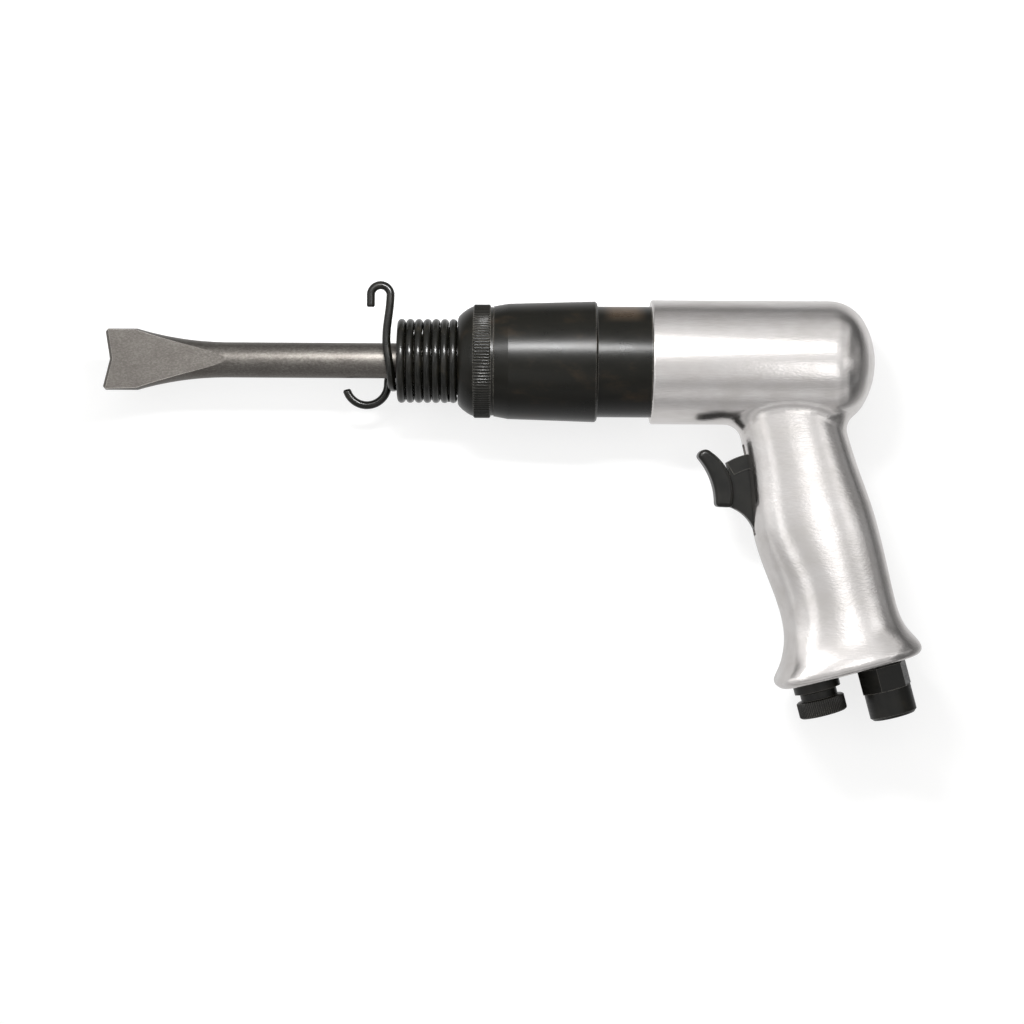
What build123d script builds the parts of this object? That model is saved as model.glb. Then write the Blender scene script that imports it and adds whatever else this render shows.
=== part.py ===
from build123d import *
import os
from math import asin, atan2, copysign, cos, pi, radians, sin, sqrt

# A pistol-grip air hammer with its notched chisel, as the pieces it comes apart into.
# Millimetres. +X runs from the chisel to the back of the tool, +Z is up, the origin is the
# middle of the grip, where the hand closes.

os.makedirs("parts", exist_ok=True)

# Where the barrel lies above the hand
barrel_reach = 59.8
barrel_rise = 65.4
grip_lean = 15.0

# Clearances
running_gap = 0.05
thread_gap = 0.1
loose_gap = 0.3
seat_gap = 0.06

# Housing, a casting with a round body and a leaning grip
housing_radius = 22.3
housing_straight = 64.0
dome_depth = 16.6
dome_round = 14.5
housing_edge = 0.8
neck_fillet = 6.5
grip_back_squareness = 2.6
grip_section_points = 24
grip_length_below = 46.9
grip_flare_height = 3.4
grip_sole = 7.7
grip_palm = -12.0
grip_station = 12.1
grip_foot_front = 26.4
grip_foot_rear = 27.4
grip_foot_half_width = 18.6
grip_foot_round = 2.6
pocket_radius = 11.0
pocket_depth = 5.0

# Barrel
barrel_bore_radius = 9.5
barrel_tail_radius = 17.5
barrel_tail_length = 40.0
barrel_ring_step = 1.5
barrel_ring_length = 19.3
sleeve_seat_radius = 18.4
sleeve_length = 37.0
collar_thread_radius = 15.0
collar_length = 12.8
collar_wall = 2.3
nose_radius = 12.2
nose_length = 10.9
nose_chamfer = 0.8
bore_floor = 42.0
port_radius = 2.0
port_count = 6
port_place = 37.0

# Exhaust sleeve and knurled collar
sleeve_front_wall = 2.35
sleeve_rear_wall = 3.3
sleeve_nose_wall = 1.4
sleeve_nose_length = 5.2
sleeve_edge = 0.7
chamber_depth = 0.8
chamber_margin = 9.0
collar_face_wall = 4.0
collar_cone_length = 5.6
collar_cone_drop = 0.7
knurl_wall = 2.0
knurl_length = 6.1
collar_neck_drop = 0.9

# Round seals
seal_wire = 1.2
seal_groove_width = 1.6
sleeve_seal_inset = 4.0

# Retainer spring, one wire bent double and wound as a pair of strands
spring_wire = 2.55
spring_pitch = 3.1
spring_turns = 7
spring_outer_radius = 15.15
spring_seat_gap = 0.425
hook_side = 8.2
hook_radius = 3.5
hook_top = 26.7
hook_leg = 4.4
hook_lead = 3.8
hook_bow = 1.4
hook_bow_height = 7.5
hook_low = 6.0
finger_hook_lead = 5.4
finger_hook_radius = 6.9
finger_hook_height = 9.6
finger_hook_sweep = 165.0
fold_angle = 12.0

# Chisel
rod_radius = 6.35
rod_front = 152.0
blade_half_width = 11.05
blade_shoulder = 184.5
blade_tip = 197.0
blade_notch = 2.8
blade_skew = 1.0
blade_bevel = 1.1
facet_slope = 0.081
shank_collar_radius = 9.6
shank_collar_length = 6.5
shank_collar_round = 1.2
shank_guide_radius = 6.3
shank_guide_length = 20.0
shank_taper_length = 5.0
shank_radius = 5.1
shank_length = 41.3

# Piston
piston_length = 33.0
piston_nose_radius = 7.0
piston_nose_length = 3.0
piston_edge = 0.8

# Valve block behind the barrel
valve_block_radius = 17.3
case_front_wall = 3.0
case_port_radius = 4.0
valve_room_radius = 11.1
valve_room_length = 3.5
valve_disc_thickness = 2.0
valve_plate_thickness = 5.5
plate_port_radius = 1.5
plate_port_reach = 7.0
plate_port_count = 6
gasket_thickness = 1.0
gasket_width = 4.0
dowel_radius = 1.5
dowel_reach = 14.0
dowel_depth = 8.0

# Trigger, set out on the grip: depth from the grip's middle, height along the grip
pivot_depth = -16.5
pivot_height = 13.6
pivot_pin_radius = 1.5
pivot_boss_radius = 4.2
pin_near_end = 8.3
pin_far_end = 10.0
trigger_travel = 9.0
trigger_rim_radius = 24.2
trigger_step_radius = 19.0
trigger_back_angle = 8.0
trigger_web = 6.6
trigger_rim = 7.4
blade_width = 12.0
blade_round = 1.6
blade_corner = 1.5
blade_top = (-33.1, 41.2)
blade_hollow = (-30.4, 31.0)
blade_toe = (-31.5, 22.4)
blade_heel = (-26.0, 20.7)
blade_back = (-23.6, 28.4)
web_hollow = (-22.6, 17.4)
blade_crown = (-28.2, 42.0)
blade_tip_mid = (-31.2, 43.2)
slot_top = 41.5

# Throttle valve across the grip
throttle_height = 28.0
stem_radius = 1.5
throttle_bush_radius = 5.0
throttle_bush_length = 9.0
throttle_head_radius = 3.9
throttle_head_length = 2.5
throttle_seal_length = 1.0
throttle_spring_length = 8.0
throttle_spring_radius = 2.6
throttle_spring_wire = 0.8
throttle_spring_turns = 4

# Air inlet and regulator under the grip
inlet_depth = 12.0
inlet_seal_radius = 7.5
inlet_seal_length = 1.2
inlet_hex_flats = 16.0
inlet_hex_turn = 10.0
inlet_hex_length = 8.6
inlet_round_radius = 8.5
inlet_round_length = 10.0
inlet_chamfer = 1.0
inlet_thread_radius = 5.75
inlet_thread_length = 12.0
inlet_bore_radius = 4.0
inlet_spigot_radius = 6.2
inlet_spigot_length = 12.0
screen_radius = 4.8
screen_length = 1.5
screen_hole_radius = 0.7
screen_hole_reach = 2.9
screen_hole_count = 8
regulator_depth = -12.3
regulator_flange_radius = 8.4
regulator_flange_length = 3.7
regulator_spigot_radius = 6.0
regulator_spigot_length = 12.0
regulator_neck_radius = 6.65
regulator_neck_length = 2.7
regulator_head_radius = 8.7
regulator_head_length = 6.0
regulator_head_edge = 0.6
regulator_stem_radius = 3.0
regulator_stem_length = 25.0
regulator_notch = 6.0
clip_radius = 4.6
clip_thickness = 0.8
clip_groove_depth = 0.8
stem_seal_wire = 0.9
stem_seal_place = 6.0
passage_radius = 3.0

# Frames. Along the barrel, local x is the distance behind the housing's front face and local y
# the radius. Along the grip, local x is the depth towards the back and local y the height.
barrel = Plane(origin=(-barrel_reach, 0, barrel_rise), x_dir=(1, 0, 0), z_dir=(0, -1, 0))
barrel_axis = Axis(barrel.origin, barrel.x_dir)
lean = radians(grip_lean)
grip = Plane(origin=(0, 0, 0), x_dir=(cos(lean), 0, sin(lean)), z_dir=(0, -1, 0))


def on_barrel(x, side, height):
    """A point beside the barrel axis: side is +Y, height is +Z."""
    return barrel.from_local_coords(Vector(x, height, -side))


def on_grip(depth, height, side=0.0):
    """A point on the grip: depth towards the back, height along the grip, side is +Y."""
    return grip.from_local_coords(Vector(depth, height, -side))


def across_grip(depth, height):
    """A plane square to the grip's length, facing up the grip."""
    return Plane(origin=on_grip(depth, height), x_dir=grip.x_dir, z_dir=grip.y_dir)


def through_grip(depth, height):
    """A plane square to the grip's front-to-back direction, facing back."""
    return Plane(origin=on_grip(depth, height), x_dir=grip.y_dir, z_dir=grip.x_dir)


def square_to_barrel(x):
    """A plane square to the barrel, facing back."""
    return Plane(origin=on_barrel(x, 0, 0), x_dir=(0, 0, 1), z_dir=barrel.x_dir)


def turned(*outline):
    """Add a piece turned about the barrel axis, from its half outline of (x, radius) points."""
    with BuildSketch(barrel) as half:
        with BuildLine():
            Polyline(*outline, close=True)
        make_face()
    revolve(half.sketch, axis=barrel_axis)


def bored(start, end, radius):
    """Drill a straight passage between two points."""
    with BuildSketch(Plane(origin=start, z_dir=end - start)) as hole:
        Circle(radius)
    extrude(hole.sketch, amount=(end - start).length, mode=Mode.SUBTRACT)


def ring_seal(plane, radius, wire):
    """Add a round seal of the given wire diameter on a circle in the plane."""
    side = Plane(origin=plane.origin, x_dir=plane.x_dir, z_dir=plane.y_dir)
    with BuildSketch(side) as section:
        with Locations((radius, 0)):
            Circle(wire / 2)
    revolve(section.sketch, axis=Axis(plane.origin, plane.z_dir))


# Radii that follow the barrel's sleeve seat and nose
barrel_ring_radius = sleeve_seat_radius + barrel_ring_step
sleeve_front_radius = sleeve_seat_radius + sleeve_front_wall
sleeve_rear_radius = sleeve_seat_radius + sleeve_rear_wall
sleeve_nose_radius = sleeve_seat_radius + sleeve_nose_wall
knurl_radius = sleeve_seat_radius + knurl_wall
collar_cone_radius = knurl_radius - collar_cone_drop
collar_neck_radius = knurl_radius - collar_neck_drop
collar_face_radius = nose_radius + collar_face_wall

# Places along the barrel, behind the housing's front face
ring_front = -barrel_ring_length
sleeve_front = ring_front - sleeve_length
collar_front = sleeve_front - collar_length
shoulder = collar_front + collar_wall
nose_front = collar_front - nose_length
spring_front = spring_seat_gap + spring_wire / 2 + spring_pitch * (spring_turns - 1) - collar_front
hook_place = spring_front + hook_lead
finger_hook_place = spring_front + finger_hook_lead
bore_front = -bore_floor
tail_end = barrel_tail_length
valve_front = tail_end + case_front_wall
plate_front = valve_front + valve_room_length
gasket_front = plate_front + valve_plate_thickness
socket_end = gasket_front + gasket_thickness
socket_radius = barrel_tail_radius + thread_gap
seal_groove_floor = sleeve_seat_radius - seal_wire + running_gap
shank_collar_rear = nose_front - loose_gap
shank_collar_front = shank_collar_rear - shank_collar_length
shank_end = shank_collar_rear + shank_length
guide_end = shank_collar_rear + shank_guide_length
taper_end = guide_end + shank_taper_length

# Places on the grip
base = -grip_length_below
slot_width = trigger_rim + 2 * loose_gap
trigger_reach = trigger_rim_radius * sin(radians(trigger_back_angle + trigger_travel))
slot_floor = pivot_depth + trigger_reach + loose_gap
slot_bottom = pivot_height - pivot_boss_radius - 2 * loose_gap
bush_front = slot_floor + loose_gap
bush_end = bush_front + throttle_bush_length
seal_front = bush_end + seat_gap
head_front = seal_front + throttle_seal_length
head_end = head_front + throttle_head_length
chamber_end = head_end + throttle_spring_length + 2 * running_gap
hex_top = base - inlet_seal_length
hex_end = hex_top - inlet_hex_length
inlet_mouth = hex_end - inlet_round_length
spigot_top = base + inlet_spigot_length
knob_top = base - regulator_flange_length - loose_gap
knob_head_top = knob_top - regulator_neck_length
knob_end = knob_head_top - regulator_head_length
regulator_spigot_top = base + regulator_spigot_length
stem_top = base + regulator_stem_length

# Grip sections: height along the grip, depth of the front and of the back, half width, and how
# square the front is
grip_sections = [
    (base, -grip_foot_front, grip_foot_rear, grip_foot_half_width, 3.5),
    (base + grip_flare_height, -grip_foot_front, grip_foot_rear, grip_foot_half_width, 3.3),
    (base + grip_sole, -23.3, 25.4, 17.3, 2.9),
    (base + 1.45 * grip_sole, -21.4, 23.8, 16.4, 2.6),
    (base + 2.05 * grip_sole, -19.6, 22.8, 15.8, 2.4),
    (grip_palm - grip_station, -18.4, 22.6, 15.4, 2.2),
    (grip_palm, -18.9, 23.0, 15.6, 2.1),
    (grip_palm + 1.15 * grip_station, -20.3, 23.2, 16.0, 2.4),
    (grip_palm + 1.8 * grip_station, -20.3, 22.9, 16.0, 2.6),
    (grip_palm + 2.8 * grip_station, -18.4, 21.8, 15.7, 2.6),
    (grip_palm + 3.8 * grip_station, -16.6, 21.1, 15.5, 2.6),
    (grip_palm + 4.4 * grip_station, -16.2, 20.9, 15.45, 2.6),
    (grip_palm + 5.0 * grip_station, -15.9, 20.75, 15.4, 2.6),
    (grip_palm + 5.6 * grip_station, -15.6, 20.6, 15.4, 2.6),
]


def grip_outline(front, rear, half_width, squareness):
    """Points round a grip section: two halves of a rounded box, the back half always as round."""
    middle = (front + rear) / 2
    half_depth = (rear - front) / 2
    points = []
    for step in range(grip_section_points):
        turn = 2 * pi * step / grip_section_points
        power = 2 / (squareness if cos(turn) < -1e-9 else grip_back_squareness)
        along = copysign(abs(cos(turn)) ** power, cos(turn))
        aside = copysign(abs(sin(turn)) ** power, sin(turn))
        points.append((middle + half_depth * along, half_width * aside))
    return points


# The dome's crown is a ball that runs on from the rounded corner
dome_end = housing_straight + dome_depth
crown_rise = housing_radius - dome_round
crown_radius = (dome_depth**2 + crown_rise**2 - dome_round**2) / (2 * (dome_depth - dome_round))
crown_angle = atan2(crown_rise, housing_straight - dome_end + crown_radius)
crown_start = (dome_end - crown_radius * (1 - cos(crown_angle)), crown_radius * sin(crown_angle))

with BuildPart() as handle_housing:
    with BuildSketch(barrel):
        with BuildLine():
            Polyline((dome_end, 0), (0, 0), (0, housing_radius), (housing_straight, housing_radius))
            TangentArc((housing_straight, housing_radius), crown_start, tangent=(1, 0))
            TangentArc(crown_start, (dome_end, 0), tangent=(sin(crown_angle), -cos(crown_angle)))
        make_face()
    revolve(axis=barrel_axis)
    fillet(handle_housing.faces().sort_by(Axis.X)[0].edges(), radius=housing_edge)
    for height, front, rear, half_width, squareness in grip_sections:
        with BuildSketch(across_grip(0, height)):
            with BuildLine():
                Spline(*grip_outline(front, rear, half_width, squareness), periodic=True)
            make_face()
    loft()
    fillet(handle_housing.edges(Select.NEW), radius=neck_fillet)
    fillet(handle_housing.faces().sort_by(Axis(grip.origin, grip.y_dir))[0].edges(), radius=grip_foot_round)
    # The socket for the barrel and the valve block, with the air pocket behind them
    with BuildSketch(square_to_barrel(0)):
        Circle(socket_radius)
    extrude(amount=socket_end, mode=Mode.SUBTRACT)
    with BuildSketch(square_to_barrel(socket_end)):
        Circle(pocket_radius)
    extrude(amount=pocket_depth, mode=Mode.SUBTRACT)
    # The slot and the pin hole for the trigger
    with BuildSketch(grip):
        with BuildLine():
            Polyline(
                (-2 * grip_foot_front, slot_bottom),
                (slot_floor, slot_bottom),
                (slot_floor, slot_top),
                (-2 * grip_foot_front, slot_top),
                close=True,
            )
        make_face()
    extrude(amount=slot_width / 2, both=True, mode=Mode.SUBTRACT)
    bored(
        on_grip(pivot_depth, pivot_height, -pin_near_end),
        on_grip(pivot_depth, pivot_height, 2 * grip_foot_half_width),
        pivot_pin_radius,
    )
    # The throttle bore, the inlet and regulator bores and the passages between them
    bored(on_grip(slot_floor, throttle_height), on_grip(chamber_end, throttle_height), throttle_bush_radius)
    bored(
        on_grip(inlet_depth, base),
        on_grip(inlet_depth, spigot_top + 3 * loose_gap),
        inlet_spigot_radius + thread_gap,
    )
    bored(
        on_grip(regulator_depth, base),
        on_grip(regulator_depth, regulator_spigot_top + 2 * clip_thickness),
        regulator_spigot_radius + thread_gap,
    )
    bored(
        on_grip(regulator_depth, base),
        on_grip(regulator_depth, stem_top + 2 * passage_radius),
        regulator_stem_radius + thread_gap,
    )
    bored(
        on_grip(inlet_depth, spigot_top + passage_radius),
        on_grip(regulator_depth, spigot_top + 2 * passage_radius),
        passage_radius,
    )
    bored(
        on_grip(regulator_depth, stem_top + passage_radius),
        on_grip((head_end + chamber_end) / 2, throttle_height),
        passage_radius,
    )
    bored(
        on_grip((bush_front + bush_end) / 2, throttle_height),
        on_barrel(socket_end + pocket_depth - passage_radius, 0, -pocket_radius / 2),
        passage_radius,
    )
handle_housing.part.label = "handle_housing"
export_step(handle_housing.part, "parts/handle_housing.step")

with BuildPart() as barrel_tube:
    turned(
        (nose_front, shank_guide_radius + running_gap),
        (nose_front, nose_radius - nose_chamfer),
        (nose_front + nose_chamfer, nose_radius),
        (shoulder, nose_radius),
        (shoulder, collar_thread_radius),
        (sleeve_front, collar_thread_radius),
        (sleeve_front, sleeve_seat_radius),
        (ring_front, sleeve_seat_radius),
        (ring_front, barrel_ring_radius),
        (0, barrel_ring_radius),
        (0, barrel_tail_radius),
        (tail_end, barrel_tail_radius),
        (tail_end, barrel_bore_radius),
        (bore_front, barrel_bore_radius),
        (bore_front, shank_radius + running_gap),
        (taper_end, shank_radius + running_gap),
        (guide_end, shank_guide_radius + running_gap),
    )
    for groove in (sleeve_front + sleeve_seal_inset, ring_front - sleeve_seal_inset):
        with BuildSketch(square_to_barrel(groove - seal_groove_width / 2)):
            Circle(sleeve_seat_radius)
            Circle(seal_groove_floor, mode=Mode.SUBTRACT)
        extrude(amount=seal_groove_width, mode=Mode.SUBTRACT)
    for turn in range(port_count):
        angle = 2 * pi * turn / port_count
        bored(
            on_barrel(-port_place, 0, 0),
            on_barrel(-port_place, barrel_ring_radius * cos(angle), barrel_ring_radius * sin(angle)),
            port_radius,
        )
    with BuildSketch(square_to_barrel(tail_end)):
        with PolarLocations(dowel_reach, 2):
            Circle(dowel_radius)
    extrude(amount=-dowel_depth, mode=Mode.SUBTRACT)
barrel_tube.part.label = "barrel"
export_step(barrel_tube.part, "parts/barrel.step")

with BuildPart() as front_collar:
    turned(
        (collar_front, nose_radius + thread_gap),
        (collar_front, collar_face_radius),
        (collar_front + collar_cone_length, collar_cone_radius),
        (collar_front + collar_cone_length, knurl_radius),
        (collar_front + collar_cone_length + knurl_length, knurl_radius),
        (collar_front + collar_cone_length + knurl_length, collar_neck_radius),
        (sleeve_front, collar_neck_radius),
        (sleeve_front, collar_thread_radius + thread_gap),
        (shoulder - thread_gap, collar_thread_radius + thread_gap),
        (shoulder - thread_gap, nose_radius + thread_gap),
    )
front_collar.part.label = "front_collar"
export_step(front_collar.part, "parts/front_collar.step")

with BuildPart() as exhaust_sleeve:
    sleeve_bore = sleeve_seat_radius + running_gap
    turned(
        (sleeve_front, sleeve_bore),
        (sleeve_front, sleeve_nose_radius),
        (sleeve_front + sleeve_nose_length, sleeve_front_radius),
        (ring_front - sleeve_edge, sleeve_rear_radius),
        (ring_front, sleeve_rear_radius - sleeve_edge),
        (ring_front, sleeve_bore),
        (ring_front - chamber_margin, sleeve_bore),
        (ring_front - chamber_margin - chamber_depth, sleeve_bore + chamber_depth),
        (sleeve_front + chamber_margin + chamber_depth, sleeve_bore + chamber_depth),
        (sleeve_front + chamber_margin, sleeve_bore),
    )
exhaust_sleeve.part.label = "exhaust_sleeve"
export_step(exhaust_sleeve.part, "parts/exhaust_sleeve.step")

with BuildPart() as sleeve_seals:
    for groove in (sleeve_front + sleeve_seal_inset, ring_front - sleeve_seal_inset):
        ring_seal(square_to_barrel(groove), sleeve_seat_radius - seal_wire / 2, seal_wire - 2 * running_gap)
sleeve_seals.part.label = "sleeve_seals"
export_step(sleeve_seals.part, "parts/sleeve_seals.step")

with BuildPart() as piston:
    piston_front = shank_end + loose_gap
    piston_radius = barrel_bore_radius - running_gap
    turned(
        (piston_front, 0),
        (piston_front, piston_nose_radius - piston_edge),
        (piston_front + piston_edge, piston_nose_radius),
        (piston_front + piston_nose_length, piston_nose_radius),
        (piston_front + piston_nose_length, piston_radius),
        (piston_front + piston_length - piston_edge, piston_radius),
        (piston_front + piston_length, piston_radius - piston_edge),
        (piston_front + piston_length, 0),
    )
piston.part.label = "piston"
export_step(piston.part, "parts/piston.step")

with BuildPart() as valve_case:
    turned(
        (tail_end, case_port_radius),
        (tail_end, valve_block_radius),
        (plate_front, valve_block_radius),
        (plate_front, valve_room_radius),
        (valve_front, valve_room_radius),
        (valve_front, case_port_radius),
    )
    with BuildSketch(square_to_barrel(plate_front)):
        with PolarLocations(dowel_reach, 2):
            Circle(dowel_radius)
    extrude(amount=-(plate_front - tail_end), mode=Mode.SUBTRACT)
valve_case.part.label = "valve_case"
export_step(valve_case.part, "parts/valve_case.step")

with BuildPart() as valve_disc:
    with BuildSketch(square_to_barrel(valve_front + seat_gap)):
        Circle(valve_room_radius - running_gap)
    extrude(amount=valve_disc_thickness)
valve_disc.part.label = "valve_disc"
export_step(valve_disc.part, "parts/valve_disc.step")

with BuildPart() as valve_plate:
    with BuildSketch(square_to_barrel(plate_front)):
        Circle(valve_block_radius)
        with PolarLocations(plate_port_reach, plate_port_count):
            Circle(plate_port_radius, mode=Mode.SUBTRACT)
        with PolarLocations(dowel_reach, 2):
            Circle(dowel_radius, mode=Mode.SUBTRACT)
    extrude(amount=valve_plate_thickness)
valve_plate.part.label = "valve_plate"
export_step(valve_plate.part, "parts/valve_plate.step")

with BuildPart() as valve_dowels:
    with BuildSketch(square_to_barrel(tail_end - dowel_depth)):
        with PolarLocations(dowel_reach, 2):
            Circle(dowel_radius - running_gap)
    extrude(amount=dowel_depth + gasket_front - tail_end)
valve_dowels.part.label = "valve_dowels"
export_step(valve_dowels.part, "parts/valve_dowels.step")

with BuildPart() as valve_gasket:
    with BuildSketch(square_to_barrel(gasket_front)):
        Circle(valve_block_radius)
        Circle(valve_block_radius - gasket_width, mode=Mode.SUBTRACT)
    extrude(amount=gasket_thickness)
valve_gasket.part.label = "valve_gasket"
export_step(valve_gasket.part, "parts/valve_gasket.step")

with BuildPart() as chisel:
    with BuildSketch(barrel):
        with BuildLine():
            Polyline(
                (-rod_front, rod_radius),
                (shank_collar_front, rod_radius),
                (shank_collar_front, shank_collar_radius - shank_collar_round),
                (shank_collar_front + shank_collar_round, shank_collar_radius),
                (shank_collar_rear - shank_collar_round, shank_collar_radius),
                (shank_collar_rear, shank_collar_radius - shank_collar_round),
                (shank_collar_rear, shank_guide_radius),
                (guide_end, shank_guide_radius),
                (taper_end, shank_radius),
                (shank_end, shank_radius),
                (shank_end, 0),
                (-blade_tip, 0),
                (-blade_tip, blade_half_width),
                (-blade_shoulder, blade_half_width),
            )
            TangentArc((-rod_front, rod_radius), (-blade_shoulder, blade_half_width), tangent=(-1, 0))
        make_face()
    revolve(axis=barrel_axis)
    # Two ground flats, drawn from above, thin the flared end towards the cutting edge
    tip_half_thickness = rod_radius - facet_slope * (blade_tip - rod_front)
    with BuildSketch(Plane(origin=barrel.origin, x_dir=(1, 0, 0), z_dir=(0, 0, 1))):
        for side in (1, -1):
            with BuildLine():
                Polyline(
                    (-rod_front, side * rod_radius),
                    (-blade_tip - blade_notch, side * (tip_half_thickness - facet_slope * blade_notch)),
                    (-blade_tip - blade_notch, side * 2 * blade_half_width),
                    (-rod_front, side * 2 * blade_half_width),
                    close=True,
                )
            make_face()
    extrude(amount=2 * blade_half_width, both=True, mode=Mode.SUBTRACT)
    # The cutting edge is a shallow notch, a little askew
    with BuildSketch(barrel):
        with BuildLine():
            Polyline(
                (-blade_tip - blade_skew, 2 * blade_half_width),
                (-blade_tip + blade_skew, blade_half_width),
                (-blade_tip + blade_notch, 0),
                (-blade_tip, -blade_half_width),
                (-blade_tip - blade_skew, -2 * blade_half_width),
                (-blade_tip - 2 * blade_half_width, 0),
                close=True,
            )
        make_face()
    extrude(amount=2 * blade_half_width, both=True, mode=Mode.SUBTRACT)
    edge_lines = [edge for edge in chisel.edges(Select.NEW) if abs(edge.center().Y) > blade_bevel]
    chamfer(edge_lines, length=blade_bevel)
chisel.part.label = "chisel"
export_step(chisel.part, "parts/chisel.step")

# The retainer spring's wire, as points on its centre line with the way it runs there: x along the
# barrel, side, height. It comes from the thumb hook down the near side of the rod, winds back as
# every second turn, folds over behind, winds forward between them and ends in the finger hook.
coil_radius = spring_outer_radius - spring_wire / 2
turn_places = [spring_pitch * turn - spring_front for turn in range(spring_turns)]
far_slope = 3 * spring_pitch / (pi * coil_radius)


def near_half(x, down):
    """Half a turn on the near side, flat: the middle and the end of it."""
    way = -1 if down else 1
    return [((x, -coil_radius, 0), (0, 0, way)), ((x, 0, way * coil_radius), (0, 1, 0))]


def far_half(x, down):
    """Half a turn on the far side, two pitches along, from the turn at x: the middle and the end of it."""
    way = -1 if down else 1
    end = x + 2 * way * spring_pitch
    middle = ((x + end) / 2, coil_radius, 0), (way * far_slope, 0, way)
    return [middle, ((end, 0, way * coil_radius), (0, -1, 0))]


front_place = turn_places[0] - spring_pitch
last_place = turn_places[-1]
hook_middle = hook_top - hook_radius
fold = radians(fold_angle)
fold_way = (0, cos(fold), sin(fold))
fold_side = coil_radius * sin(fold)
fold_height = -coil_radius * cos(fold)
fold_reach = spring_pitch / 2
wire_route = [
    ((-hook_place - 2 * hook_radius, -hook_side, hook_middle - hook_leg), (0, 0, 1)),
    ((-hook_place - 2 * hook_radius, -hook_side, hook_middle), (0, 0, 1)),
    ((-hook_place - hook_radius, -hook_side, hook_top), (1, 0, 0)),
    ((-hook_place, -hook_side, hook_middle), (0, 0, -1)),
    ((-hook_place - hook_bow, -hook_side, hook_bow_height), (0, 0, -1)),
    ((front_place - spring_pitch / 3, -hook_side, -hook_low), (0.1, 0, -1)),
    ((front_place, 0, -coil_radius), (0, 1, 0)),
]
for turn in range(1, spring_turns, 2):
    wire_route += far_half(turn_places[turn] - 2 * spring_pitch, down=False)
    wire_route += near_half(turn_places[turn], down=True)
wire_route += [
    ((last_place - spring_pitch, fold_side, fold_height), fold_way),
    (
        (last_place - fold_reach, fold_side + fold_reach * cos(fold), fold_height + fold_reach * sin(fold)),
        (1, 0, 0),
    ),
    ((last_place, fold_side, fold_height), (0, -cos(fold), -sin(fold))),
    ((last_place, 0, -coil_radius), (0, -1, 0)),
]
for turn in range(spring_turns - 1, 0, -2):
    wire_route += near_half(turn_places[turn], down=False)
    wire_route += far_half(turn_places[turn], down=True)
wire_route += near_half(turn_places[0], down=False)
finger_end = radians(finger_hook_sweep)
finger_middle = -finger_hook_place - finger_hook_radius
wire_route += [
    ((-spring_front - spring_pitch, hook_side, coil_radius / 2), (-0.35, 0, -1)),
    ((-finger_hook_place, hook_side, -hook_low / 2), (0, 0, -1)),
    ((-finger_hook_place, hook_side, -finger_hook_height), (0, 0, -1)),
    ((finger_middle, hook_side, -finger_hook_height - finger_hook_radius), (-1, 0, 0)),
    (
        (
            finger_middle + finger_hook_radius * cos(finger_end),
            hook_side,
            -finger_hook_height - finger_hook_radius * sin(finger_end),
        ),
        (-sin(finger_end), 0, -cos(finger_end)),
    ),
]


def double_arc(start, start_way, end, end_way):
    """Join two points, each with its direction, by a pair of arcs that run smoothly into each other."""
    reach = end - start
    both = start_way + end_way
    spread = 2 * (1 - start_way.dot(end_way))
    if spread < 1e-9:
        step = reach.dot(reach) / (2 * reach.dot(both))
    else:
        step = (sqrt(reach.dot(both) ** 2 + spread * reach.dot(reach)) - reach.dot(both)) / spread
    middle = (start + end + (start_way - end_way) * step) * 0.5
    middle_way = (end - end_way * step) - (start + start_way * step)
    for first, last, way in ((start, middle, start_way), (middle, end, middle_way.normalized())):
        if (last - first).normalized().cross(way).length < 1e-6:
            Line(first, last)
        else:
            TangentArc(first, last, tangent=way)


with BuildPart() as retainer_spring:
    with BuildLine() as wire:
        stops = [
            (on_barrel(*place), (on_barrel(*way) - on_barrel(0, 0, 0)).normalized())
            for place, way in wire_route
        ]
        for (start, start_way), (end, end_way) in zip(stops, stops[1:]):
            double_arc(start, start_way, end, end_way)
    with BuildSketch(Plane(origin=wire.line @ 0, z_dir=wire.line % 0)):
        Circle(spring_wire / 2)
    sweep(path=wire.line)
retainer_spring.part.label = "retainer_spring"
export_step(retainer_spring.part, "parts/retainer_spring.step")

wire_length = sum(edge.length for edge in wire.edges())
wire_points = []
for edge in wire.edges():
    steps = max(2, round(edge.length / (spring_wire / 2)))
    wire_points += [edge @ (step / steps) for step in range(steps)]
far_apart = round(3 * len(wire_points) * spring_wire / wire_length)
least_gap = min(
    (first - second).length
    for place, first in enumerate(wire_points)
    for second in wire_points[place + far_apart :]
)
print("retainer_spring least gap", round(least_gap - spring_wire, 3))

pivot = (pivot_depth, pivot_height)
back_angle = radians(trigger_back_angle)
rim_start_angle = asin((pivot_depth - blade_back[0]) / trigger_rim_radius)


def on_rim(radius, angle):
    """A point about the trigger's pivot, the angle measured from straight up towards the back."""
    return (pivot_depth + radius * sin(angle), pivot_height + radius * cos(angle))


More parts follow.
